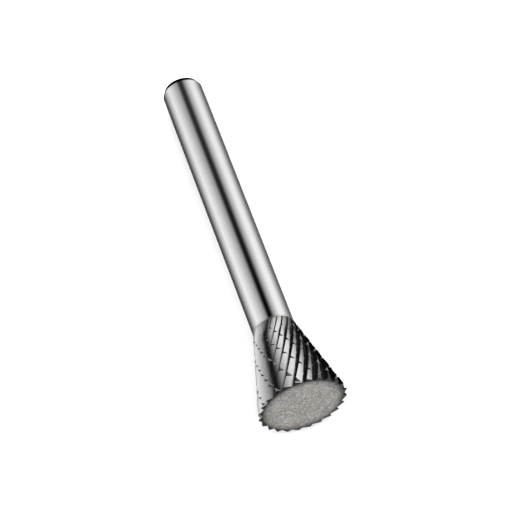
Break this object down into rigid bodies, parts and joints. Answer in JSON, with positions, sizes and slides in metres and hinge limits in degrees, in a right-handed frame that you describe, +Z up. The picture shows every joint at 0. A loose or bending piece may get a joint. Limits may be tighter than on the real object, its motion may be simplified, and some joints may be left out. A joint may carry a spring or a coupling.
{
  "type": "die grinder burr",
  "caption": "Inverted-cone carbide burr for a die grinder: a cross-cut head with right-hand spiral teeth and a flat end face, brazed to a plain round steel shank.",
  "frame": {"origin": "centre of the shank's flat back end face", "axes": "+X along the tool axis from the shank towards the head's flat end face, +Z up with the tool lying on its side"},
  "size_m": [0.058, 0.0126, 0.0126],
  "materials": {
    "ground_steel": "ground and polished bright",
    "silver_braze": "silver solder, ground flush",
    "copper": "plain copper sheet",
    "tungsten_carbide": "diamond-ground teeth, matt sintered end face"
  },
  "bodies": {
    "root": {"shank": "ground_steel", "silver_braze_shank_side": "silver_braze", "copper_shim": "copper", "silver_braze_head_side": "silver_braze", "carbide_head": "tungsten_carbide"}
  },
  "joints": []
}
